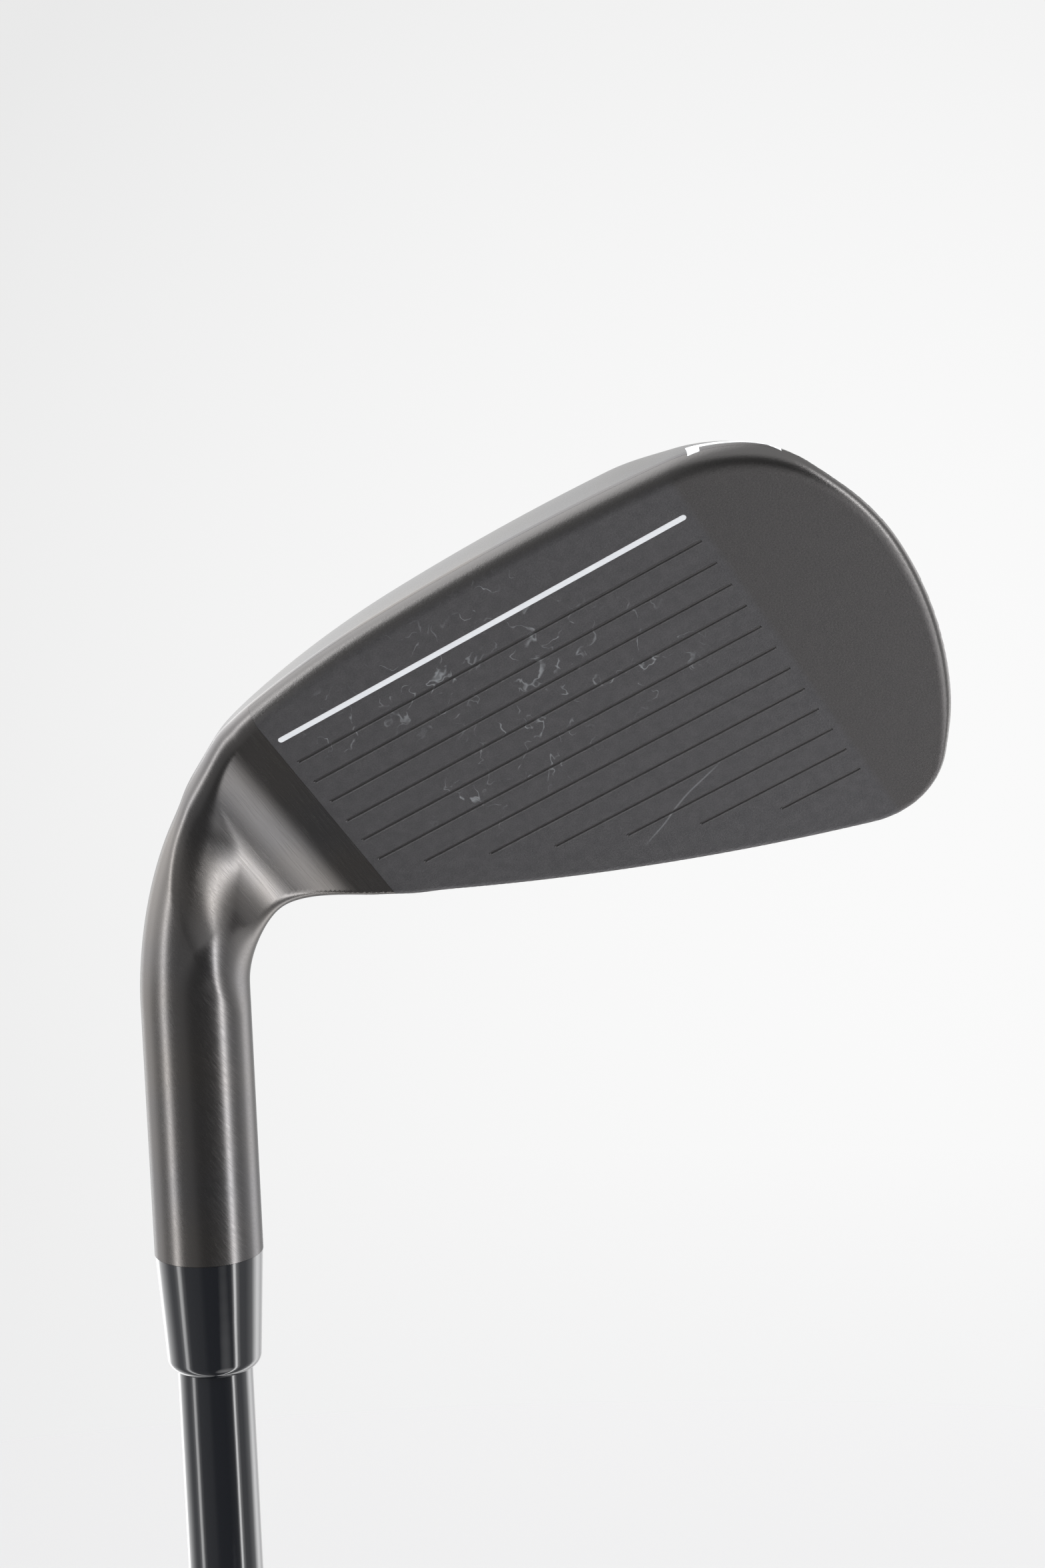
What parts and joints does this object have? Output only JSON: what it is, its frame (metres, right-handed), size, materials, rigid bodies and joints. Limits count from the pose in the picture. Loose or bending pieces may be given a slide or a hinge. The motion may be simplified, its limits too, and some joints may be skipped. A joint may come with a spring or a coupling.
{
  "type": "iron golf club",
  "caption": "Right-handed mid-lofted iron golf club: black hollow-body head with score lines, ferrule, tapered tubular shaft and rubber grip.",
  "frame": {"origin": "centre of the grip's butt end, on the shaft axis", "axes": "+Z along the shaft axis from the butt to the head, -Y the way the face looks (the target), +X the toe side"},
  "size_m": [0.104, 0.0432, 0.9708],
  "materials": {
    "black_steel": "satin black plating with a fine brushed grain",
    "blasted_face": "matte blasted black with light ball marks",
    "white_paint": "smooth white enamel fill",
    "foam": "cast elastomer",
    "tungsten": "sintered, matte",
    "screw_steel": "dark satin",
    "pad_tape": "double-sided tape",
    "badge": "satin black with a fine ribbed field",
    "ferrule_black": "polished",
    "shaft_black": "lacquered carbon fibre",
    "grip_rubber": "matte moulded pattern",
    "cap_rubber": "matte"
  },
  "bodies": {
    "root": {"head_body": "black_steel", "face_cup": "blasted_face", "score_line_paint": "white_paint", "sole_digit_paint": "white_paint", "cavity_filler": "foam", "tungsten_weight": "tungsten", "port_screw": "screw_steel", "damping_pad": "pad_tape", "back_badge": "badge", "ferrule": "ferrule_black", "shaft": "shaft_black", "tip_weight": "tungsten", "grip_tape": "pad_tape", "grip": "grip_rubber", "grip_cap": "cap_rubber"}
  },
  "joints": []
}
